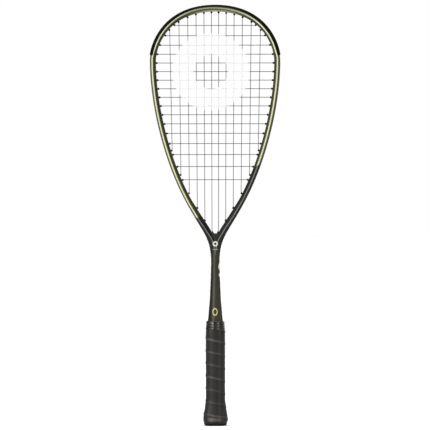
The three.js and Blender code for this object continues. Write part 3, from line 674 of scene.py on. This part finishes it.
def barrel(bm, distance, reach=2.6, girth=1.6):
    """A grommet tube: a lathe-turned wall with a rounded mouth, set through the frame."""
    inner = -(4.9 + reach)
    profile = [
        (0.85, 2.6), (0.85, inner + 0.4), (1.0, inner), (girth - 0.2, inner - 0.05),
        (girth + 0.05, inner + 0.3), (girth + 0.1, inner + 1.2), (girth - 0.1, inner + reach),
        (girth, -4.7), (girth, 2.6),
    ]
    piece = bmesh.new()
    chain = [piece.verts.new((radius * mm, 0, height * mm)) for radius, height in profile]
    links = [piece.edges.new(pair) for pair in zip(chain, chain[1:] + chain[:1])]
    bmesh.ops.spin(
        piece, geom=chain + links, cent=(0, 0, 0), axis=(0, 0, 1), angle=math.tau, steps=12,
        use_merge=True,
    )
    point, out = hoop_frame(distance)
    turn = out.to_track_quat("Z", "Y").to_matrix().to_4x4()
    bmesh.ops.transform(piece, matrix=Matrix.Translation(point) @ turn, verts=piece.verts)
    bmesh.ops.recalc_face_normals(piece, faces=piece.faces)
    spare = bpy.data.meshes.new("spare")
    piece.to_mesh(spare)
    piece.free()
    bm.from_mesh(spare)
    bpy.data.meshes.remove(spare)


def nylon_finish(name, shade, roughness, grain_scale, gloss=0.25):
    """Satin moulded nylon or vinyl: a fine spark-eroded texture with faint handling marks."""
    material, tree, shader = start_finish(name, Specular_IOR_Level=gloss)
    place = racket_place(tree)
    marks = noise(tree, place, 90.0, 5.0)
    darker = tuple(channel * 0.75 for channel in shade[:3]) + (1,)
    lighter = tuple(channel * 1.3 for channel in shade[:3]) + (1,)
    tree.links.new(blend(tree, marks, darker, lighter), shader.inputs["Base Color"])
    tree.links.new(
        spread(tree, marks, roughness - 0.08, roughness + 0.1), shader.inputs["Roughness"]
    )
    emboss(tree, shader, noise(tree, place, grain_scale, 3.0), 0.25, 0.08 * mm)
    return material


guard_nylon = nylon_finish("guard_nylon", srgb(12, 11, 4), 0.66, 2200.0, 0.06)
bm = bmesh.new()
ribbon(bm, guard_outline, -guard_end, guard_end)
crosses_in_guard = 4
for hole in main_tops + crosses[:crosses_in_guard]:
    barrel(bm, hole)
    barrel(bm, -hole)
settle(bm, "head_guard_moulding", guard_nylon, "head_guard")

# ---------------------------------------------------------------------------------------------
# The grommet strips and the throat's single grommets: black nylon ribbons with string tubes. They
# lie in the channel below the guard and are held there by the strings' tension.
grommet_nylon = nylon_finish("grommet_nylon", srgb(18, 18, 12), 0.5, 1800.0)
strip_outline = mirrored_outline([
    (2.95, 0), (2.95, 1.9), (3.1, 2.3), (4.5, 2.35), (4.62, 2.5), (4.62, 3.05), (4.5, 3.15),
    (2.3, 3.15), (2.15, 2.9), (2.15, 0),
])
mains_in_throat = 3
strip_holes = crosses[crosses_in_guard:] + main_feet[mains_in_throat:]
strip_end = max(strip_holes) + 4.5 * mm
for side, hand in ((1, "right"), (-1, "left")):
    bm = bmesh.new()
    ribbon(bm, strip_outline, side * (guard_end + 0.5 * mm), side * strip_end)
    for hole in strip_holes:
        barrel(bm, side * hole)
    settle(
        bm, f"side_grommets_{hand}", grommet_nylon, f"grommet_strip_{hand}"
    )
for i in range(mains_in_throat):
    for side, hand in ((1, "right"), (-1, "left")):
        bm = bmesh.new()
        hole = side * main_feet[i]
        ribbon(bm, strip_outline, hole - 3.6 * mm, hole + 3.6 * mm, 0.9 * mm)
        barrel(bm, hole, 4.4 if i == 0 else 3.2, 1.9)
        settle(
            bm, f"throat_tube_{hand}_{i + 1}", grommet_nylon,
            f"throat_grommet_{hand}_{i + 1}",
        )

# ---------------------------------------------------------------------------------------------
# The strings: grey synthetic multifilament, 1.15 mm thick. The mains run up and down the head, the
# crosses are woven over and under them, and both turn from hole to hole inside the channel. A
# plain white ring is stencilled on the bed.
lane = 1.35 * mm
leave = mouth_depth + 0.35 * mm


def loop(start, end, off):
    """From one hole's outer end to the next one's, along the floor of the channel."""
    way = 1 if end > start else -1
    count = max(3, int(abs(end - start) / (3 * mm)))
    first, last = start + way * 2.6 * mm, end - way * 2.6 * mm
    return [
        (hoop_place(first + (last - first) * i / count, lane_height, off), 1 * mm)
        for i in range(count + 1)
    ]


def tail(start, length, off):
    """A string's end: it turns out of its last hole and is tied off beside the next one."""
    way = 1 if length > 0 else -1
    return [
        (hoop_place(start, lane_height), 1.2 * mm),
        (hoop_place(start + way * 3.0 * mm, lane_height, off), 1.2 * mm),
        (hoop_place(start + length, lane_height, off), 0.5 * mm),
    ]


def eased_path(corners):
    """Round each corner of a route of (point, reach) into a short curve."""
    path = [corners[0][0]]
    for (before, _), (corner, reach), (after, _) in zip(corners, corners[1:], corners[2:]):
        back_way, on_way = before - corner, after - corner
        span = min(reach, back_way.length / 2, on_way.length / 2)
        start = corner + back_way.normalized() * span
        end = corner + on_way.normalized() * span
        for i in range(7):
            t = i / 6
            path.append(start.lerp(corner, t).lerp(corner.lerp(end, t), t))
    path.append(corners[-1][0])
    kept = [path[0]]
    for point in path[1:]:
        if (point - kept[-1]).length > 0.12 * mm:
            kept.append(point)
    return kept


def drawn_string(name, path, material, node):
    """A round string along a path, which stands for a CAD node."""
    line = bpy.data.curves.new(name, "CURVE")
    line.dimensions = "3D"
    line.bevel_depth = string_radius
    line.bevel_resolution = 2
    line.use_fill_caps = True
    spline = line.splines.new("POLY")
    spline.points.add(len(path) - 1)
    for spot, point in zip(spline.points, path):
        spot.co = (*point, 1)
    line.materials.append(material)
    string = bpy.data.objects.new(name, line)
    bpy.context.scene.collection.objects.link(string)
    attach(string, "root")
    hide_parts(node)


def main_ends(number, side):
    """Where a main leaves its barrels, numbered from the middle out."""
    top = hoop_place(side * main_tops[number], -leave)
    foot = hoop_place(side * main_feet[number], -leave)
    return top, foot


def mains_passed(height):
    """The places of the mains that cross a height, from left to right."""
    found = []
    for number in range(mains_a_side):
        top, foot = main_ends(number, 1)
        share = (height - foot.z) / (top.z - foot.z)
        if 0 < share < 1:
            found.append((foot.x + (top.x - foot.x) * share, number))
    left = [(-x, mains_a_side - 1 - number) for x, number in reversed(found)]
    return left + [(x, mains_a_side + number) for x, number in found]


def over_or_under(row, column):
    """1 where a cross passes behind a main, and -1 where it passes in front."""
    return 1 if (row + column) % 2 == 0 else -1


# How far the strings' routes bend at a crossing. The eased path takes half of it.
main_sway, cross_sway = 0.7 * mm, 1.72 * mm
order = [(number, -1) for number in reversed(range(mains_a_side))]
order += [(number, 1) for number in range(mains_a_side)]
main_tail = 9 * mm
route = list(reversed(tail(-main_tops[-1], main_tail, -lane)))
for column, (number, side) in enumerate(order):
    top, foot = main_ends(number, side)
    ends = (side * main_tops[number], side * main_feet[number])
    down = column % 2 == 0
    held = []
    for row, height in enumerate(cross_heights):
        share = (height - foot.z) / (top.z - foot.z)
        if 0.01 < share < 0.99:
            knot = foot.lerp(top, share)
            knot.y = -main_sway * over_or_under(row, column)
            held.append((knot, 1.0))
    if not down:
        held.reverse()
    start, end = (ends[0], ends[1]) if down else (ends[1], ends[0])
    first, last = (top, foot) if down else (foot, top)
    if column > 0:
        route.append((hoop_place(start, lane_height), 1.2 * mm))
    route += [(first, 1.5 * mm)] + held + [(last, 1.5 * mm)]
    if column < len(order) - 1:
        following, next_side = order[column + 1]
        target = next_side * (main_feet[following] if down else main_tops[following])
        route.append((hoop_place(end, lane_height), 1.2 * mm))
        route += loop(end, target, -lane)
route += tail(main_tops[-1], -main_tail, -lane)
mains_path = eased_path(route)

cross_tail = 4 * mm
route = list(reversed(tail(-crosses[0], cross_tail, lane)))
for row, place in enumerate(crosses):
    rightwards = row % 2 == 0
    start, end = (-place, place) if rightwards else (place, -place)
    first, last = hoop_place(start, -leave), hoop_place(end, -leave)
    woven = [
        (Vector((x, cross_sway * over_or_under(row, column), first.z)), 1.0)
        for x, column in mains_passed(first.z)
    ]
    if not rightwards:
        woven.reverse()
    if row > 0:
        route.append((hoop_place(start, lane_height), 1.2 * mm))
    route += [(first, 1.5 * mm)] + woven + [(last, 1.5 * mm)]
    if row < cross_count - 1:
        route.append((hoop_place(end, lane_height), 1.2 * mm))
        route += loop(end, (1 if rightwards else -1) * crosses[row + 1], lane)
route += tail(crosses[-1], cross_tail, lane)
crosses_path = eased_path(route)


def string_finish():
    """Grey multifilament under a clear coat, with fine wound filaments, and the white stencil."""
    material, tree, shader = start_finish(
        "string_multifilament", Coat_Weight=0.3, Coat_Roughness=0.2
    )
    place = racket_place(tree)
    fibres = link_node(
        tree, "ShaderNodeTexWave",
        {"Vector": place, "Scale": 900.0, "Distortion": 1.5, "Detail": 2.0},
        bands_direction="DIAGONAL",
    ).outputs["Fac"]
    dye = noise(tree, place, 45.0, 3.0)
    wound = blend(tree, fibres, srgb(66, 66, 66), srgb(92, 91, 90))
    dyed = blend(tree, dye, wound, srgb(80, 79, 76))
    in_plane = link_node(
        tree, "ShaderNodeVectorMath", {0: place, 1: (1, 0, 1)}, operation="MULTIPLY"
    ).outputs[0]
    reach = link_node(
        tree, "ShaderNodeVectorMath", {0: in_plane, 1: (-7 * mm, 0, 577 * mm)},
        operation="DISTANCE",
    ).outputs["Value"]
    in_rim = spread(tree, reach, 1.0, 0.0, start=62 * mm, end=64 * mm)
    past_hole = spread(tree, reach, 0.0, 1.0, start=27 * mm, end=29 * mm)
    inked = blend(tree, product_of(tree, in_rim, past_hole), dyed, srgb(236, 237, 236))
    tree.links.new(inked, shader.inputs["Base Color"])
    tree.links.new(spread(tree, dye, 0.32, 0.5), shader.inputs["Roughness"])
    emboss(tree, shader, fibres, 0.3, 0.05 * mm)
    return material


multifilament = string_finish()
drawn_string("strings_up", mains_path, multifilament, "main_string")
drawn_string("strings_across", crosses_path, multifilament, "cross_string")

# ---------------------------------------------------------------------------------------------
# Inside the handle: two pallet halves and a short plug, moulded in rigid cream foam, glued round
# the core, and two wire staples that hold the butt cap. They are covered once the grip is on.
foam, tree, shader = start_finish("handle_foam", Roughness=0.85)
cells = link_node(
    tree, "ShaderNodeTexVoronoi", {"Vector": racket_place(tree), "Scale": 900.0}
).outputs["Distance"]
cream = blend(tree, cells, srgb(150, 138, 108), srgb(196, 186, 156))
tree.links.new(cream, shader.inputs["Base Color"])
emboss(tree, shader, cells, 0.4, 0.2 * mm)

staple_wire, tree, shader = start_finish("staple_wire", Metallic=1.0)
drawn = noise(tree, racket_place(tree), 600.0, 4.0)
steel = blend(tree, drawn, srgb(176, 176, 172), srgb(206, 206, 200))
tree.links.new(steel, shader.inputs["Base Color"])
tree.links.new(spread(tree, drawn, 0.25, 0.45), shader.inputs["Roughness"])


def refinish(node, material):
    """Give a CAD node a finish and leave its shape as it is."""
    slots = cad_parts[node].data.materials
    slots.clear()
    slots.append(material)


for node in ("shaft_foam_plug", "pallet_front", "pallet_back"):
    refinish(node, foam)
for node in ("butt_staple_front", "butt_staple_back"):
    refinish(node, staple_wire)

# ---------------------------------------------------------------------------------------------
# The butt cap: black nylon, injection moulded, pushed over the pallets and stapled. Only its
# rounded lip and end face show below the grip, with a round trim plug pressed into the middle.
flat_loss = 1.9 * mm
bevel_loss = 4.8 * mm


def handle_point(turn, half, height, grow=0.0):
    """A point on the handle's outline, which has eight softened sides, seen from above."""
    softness = 8
    wide, deep = half + grow, half - flat_loss + grow
    slant = (half * 2 - flat_loss - bevel_loss) / math.sqrt(2) + grow
    reach = 0.0
    for side, apart in ((0, wide), (45, slant), (90, deep), (135, slant)):
        reach += (abs(math.cos(turn - math.radians(side))) / apart) ** softness
    radius = reach ** (-1 / softness)
    return Vector((radius * math.cos(turn), radius * math.sin(turn), height))


def handle_ring(half, height):
    """The handle's whole outline at a height."""
    sides = 72
    return [handle_point(math.tau * i / sides, half, height) for i in range(sides)]


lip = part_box("butt_cap")[1].x
cap_nylon = nylon_finish("cap_nylon", srgb(22, 21, 18), 0.5, 1400.0)
cap_profile = [
    (lip - 9 * mm, 0.0), (lip - 3.8 * mm, 0.0), (lip - 2.7 * mm, 0.15), (lip - 1.7 * mm, 0.6),
    (lip - 0.9 * mm, 1.25), (lip - 0.3 * mm, 2.05), (lip + 0.05 * mm, 2.9), (lip, 3.55),
    (lip - 1.6 * mm, 3.9), (18.0 * mm, 12.0), (15.2 * mm, 30.0), (14.4 * mm, 38.0),
]
bm = bmesh.new()
sweep(bm, [handle_ring(half, height * mm) for half, height in cap_profile])
end_face = min(bm.faces, key=lambda face: face.calc_center_median().z)
bmesh.ops.inset_region(bm, faces=[end_face], thickness=0.6 * mm, depth=-0.25 * mm)
settle(bm, "butt_cap_moulding", cap_nylon, "butt_cap")

plug_rubber = nylon_finish("plug_rubber", srgb(24, 23, 20), 0.4, 900.0)
plug_profile = [
    (0, 0.01), (3.0, 0.01), (3.3, 0.26), (3.9, 0.26), (4.2, 0.01), (7.9, 0.01), (8.5, 0.16),
    (8.9, 0.56), (9.0, 1.06), (9.0, 1.86), (0, 1.86),
]
bm = bmesh.new()
chain = [bm.verts.new((radius * mm, 0, height * mm)) for radius, height in plug_profile]
links = [bm.edges.new(pair) for pair in zip(chain, chain[1:])]
bmesh.ops.spin(
    bm, geom=chain + links, cent=(0, 0, 0), axis=(0, 0, 1), angle=math.tau, steps=48,
    use_merge=True,
)
bmesh.ops.remove_doubles(bm, verts=bm.verts, dist=0.005 * mm)
settle(bm, "butt_trim_plug", plug_rubber, "butt_cap_plug")

# ---------------------------------------------------------------------------------------------
# The grip: a 26 mm strip of dark synthetic leather with thinned edges, wound in a spiral from the
# butt up, each turn lapping over the last. It is self-adhesive, and cut level at both ends.
pitch = 20.4 * mm
seam_at_front = 135.9 * mm
grip_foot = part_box("grip_wrap")[0].z
grip_top = 159 * mm
core_half = [
    (167, 12.3), (151, 14.35), (43, 14.35), (32, 15.7), (25, 16.7), (18, 18.0), (12, 18.7),
    (8, 18.6), (3, 17.0),
]
# The strip's outline in mm: up the handle from its lower edge, and out of the pallets.
strip_width = 26.4
strip_section = [
    (0.0, 0.75), (0.15, 1.5), (0.5, 1.95), (1.1, 2.16), (1.9, 2.18), (2.9, 1.98), (3.9, 1.72),
    (4.9, 1.58), (6.4, 1.54), (10.0, 1.58), (15.0, 1.58), (19.5, 1.5), (21.0, 1.35), (23.0, 1.0),
    (26.2, 0.55), (strip_width, 0.1),
    (21.0, 0.02), (6.0, 0.02), (3.0, 0.35),
]
turns = 9
per_turn = 96
# The strip starts at the right side, a quarter turn before the front, seven turns under the seam.
strip_start = seam_at_front - 7.25 * pitch
outlines = []
for step in range(turns * per_turn + 1):
    # The strip climbs as it goes round clockwise, seen from above.
    turn = -math.tau * step / per_turn
    base = strip_start + pitch * step / per_turn
    outline = []
    for across, thick in strip_section:
        height = base + across * mm
        half = blended(height, core_half) * mm
        outline.append(handle_point(turn, half, height, thick * mm))
    outlines.append(outline)
bm = bmesh.new()
lap_marks = [across / strip_width for across, _ in strip_section]
sweep(bm, outlines, mark=bm.verts.layers.float.new("across"), marks=[lap_marks] * len(outlines))
for height, way in ((grip_foot, -1), (grip_top, 1)):
    bmesh.ops.bisect_plane(
        bm, geom=bm.verts[:] + bm.edges[:] + bm.faces[:], plane_co=(0, 0, height),
        plane_no=(0, 0, way), clear_outer=True, dist=1e-6,
    )
bmesh.ops.holes_fill(bm, edges=[edge for edge in bm.edges if edge.is_boundary])


def grip_finish():
    """Dry synthetic leather with a pebbled grain, and painted highlights: down the front and back,
    along the lapped ridges, and on the heel. Places are in metres."""
    material, tree, shader = start_finish("grip_leather", Specular_IOR_Level=0.35)
    place = racket_place(tree)
    x, _, z = link_node(tree, "ShaderNodeSeparateXYZ", {0: place}).outputs
    up_strip = link_node(tree, "ShaderNodeAttribute", attribute_name="across").outputs["Fac"]
    pebbles = link_node(
        tree, "ShaderNodeTexVoronoi", {"Vector": place, "Scale": 1100.0}, feature="SMOOTH_F1"
    ).outputs["Distance"]
    smear = noise(tree, place, 55.0, 6.0, 0.65)
    hide = blend(tree, smear, srgb(17, 15, 13), srgb(34, 31, 27))

    def highlight_greys(value, low, high, stops):
        """How bright a painted highlight is along a value, as greys that ease from stop to stop."""
        greys = [(at, (amount, amount, amount, 1)) for at, amount in stops]
        return graded(tree, value, low, high, greys, "EASE")

    # Painted highlights of the strip lights down the front, of the lapped ridges and of the heel.
    lanes = highlight_greys(x, -0.020, 0.020, [
        (-0.0145, 0.12), (-0.0115, 0.07), (-0.0098, 0.03), (-0.0062, 0.13), (-0.0015, 0.05),
        (0.0025, 0.0), (0.0072, 0.14), (0.0094, 0.07), (0.0136, 0.17),
    ])
    ridge = highlight_greys(up_strip, 0.0, 0.25, [
        (0.0, 0.1), (0.03, 0.4), (0.075, 0.8), (0.12, 0.6), (0.17, 0.2), (0.21, 0.0),
    ])
    ridge_across = highlight_greys(x, -0.020, 0.020, [
        (-0.017, 0.1), (-0.0095, 0.6), (-0.006, 1.0), (-0.001, 0.6), (0.006, 0.5), (0.012, 0.2),
    ])
    ridge_by_height = highlight_greys(z, 0.0, 0.16, [
        (0.016, 1.0), (0.026, 0.55), (0.038, 0.42), (0.058, 0.5), (0.076, 1.0), (0.094, 0.62),
        (0.115, 0.62), (0.136, 1.15),
    ])
    heel = highlight_greys(z, 0.0, 0.03, [(0.0055, 0.0), (0.0085, 0.9), (0.0108, 0.9), (0.0145, 0.0)])
    heel_across = highlight_greys(x, -0.020, 0.020, [
        (-0.014, 0.0), (-0.0105, 0.6), (-0.0075, 1.0), (-0.003, 0.7), (0.001, 0.42),
        (0.005, 0.46), (0.0085, 0.26), (0.012, 0.0),
    ])
    painted_highlight = product_of(tree, lanes, 0.4)
    for mark in (
        product_of(tree, ridge_across, ridge_by_height, ridge, 0.4),
        product_of(tree, heel, heel_across, 0.66),
    ):
        painted_highlight = calculate(tree, "ADD", painted_highlight, mark)
    highlighted = blend(tree, painted_highlight, hide, srgb(142, 137, 124))
    tree.links.new(highlighted, shader.inputs["Base Color"])
    tree.links.new(spread(tree, smear, 0.36, 0.56), shader.inputs["Roughness"])
    emboss(tree, shader, pebbles, 0.35, 0.15 * mm)
    return material


settle(bm, "grip_strip", grip_finish(), "grip_wrap")

# ---------------------------------------------------------------------------------------------
# The finishing tape: black vinyl wound over the grip's end, nearly all of it under the collar.
refinish("finishing_tape", nylon_finish("tape_vinyl", srgb(28, 28, 28), 0.3, 500.0))

# ---------------------------------------------------------------------------------------------
# The collar: a soft glossy rubber ring rolled down the shaft over the tape. It is moulded with
# three rounded ribs and is thicker at the bottom.
collar_profile = [
    (13.9, 156.6), (15.0, 156.6), (15.65, 156.95), (15.95, 157.8), (15.9, 158.8), (15.5, 159.7),
    (14.9, 160.2), (14.9, 160.8), (15.4, 161.3), (15.65, 162.2), (15.6, 163.1), (15.2, 163.9),
    (14.6, 164.4), (14.6, 165.1), (15.05, 165.6), (15.25, 166.6), (15.15, 167.6), (14.8, 168.5),
    (14.5, 169.3), (14.1, 170.2), (13.4, 170.6), (12.7, 170.4), (12.6, 169.6), (12.9, 160.0),
]
bm = bmesh.new()
sweep(bm, [handle_ring(half * mm, height * mm) for half, height in collar_profile], cap=False)
bmesh.ops.bridge_loops(bm, edges=[edge for edge in bm.edges if edge.is_boundary])


def collar_finish():
    """Glossy soft rubber with painted reflections up its front and back, painted highlights on its ribs
    and painted shade in its grooves.
    """
    material, tree, shader = start_finish("collar_gloss", Specular_IOR_Level=0.4)
    place = racket_place(tree)
    x, _, z = link_node(tree, "ShaderNodeSeparateXYZ", {0: place}).outputs

    def toned(value, low, high, stops):
        """Greys with a little yellow, by a height or a distance in mm."""
        tones = [(at * mm, srgb(tone, tone, tone * 0.94)) for at, tone in stops]
        return graded(tree, value, low * mm, high * mm, tones, "EASE")

    # Painted reflections of the strip lights down the front; the ribs get painted highlights and the
    # grooves painted shade.
    lanes = toned(x, -18, 18, [
        (-15.4, 4), (-13.2, 24), (-11.3, 56), (-8.4, 8), (-5.8, 130), (-4.2, 190), (-2.7, 60),
        (-1.2, 8), (0.9, 2), (3.2, 80), (5.0, 128), (7.0, 4), (8.6, 4), (10.6, 72), (14.6, 60),
    ])
    ribs = toned(z, 156, 171, [
        (156.6, 120), (158.0, 205), (160.3, 90), (161.9, 235), (164.4, 100), (166.4, 255),
        (168.4, 190), (169.4, 90), (170.4, 30),
    ])
    painted_reflections = blend(tree, 1.0, lanes, ribs, "MULTIPLY")
    smudge = noise(tree, place, 240.0, 4.0)
    film = product_of(tree, smudge, 0.16)
    tree.links.new(blend(tree, film, painted_reflections, srgb(40, 39, 36)), shader.inputs["Base Color"])
    tree.links.new(spread(tree, smudge, 0.2, 0.38), shader.inputs["Roughness"])
    emboss(tree, shader, smudge, 0.25, 0.1 * mm)
    return material


settle(bm, "shaft_collar", collar_finish(), "rubber_collar")
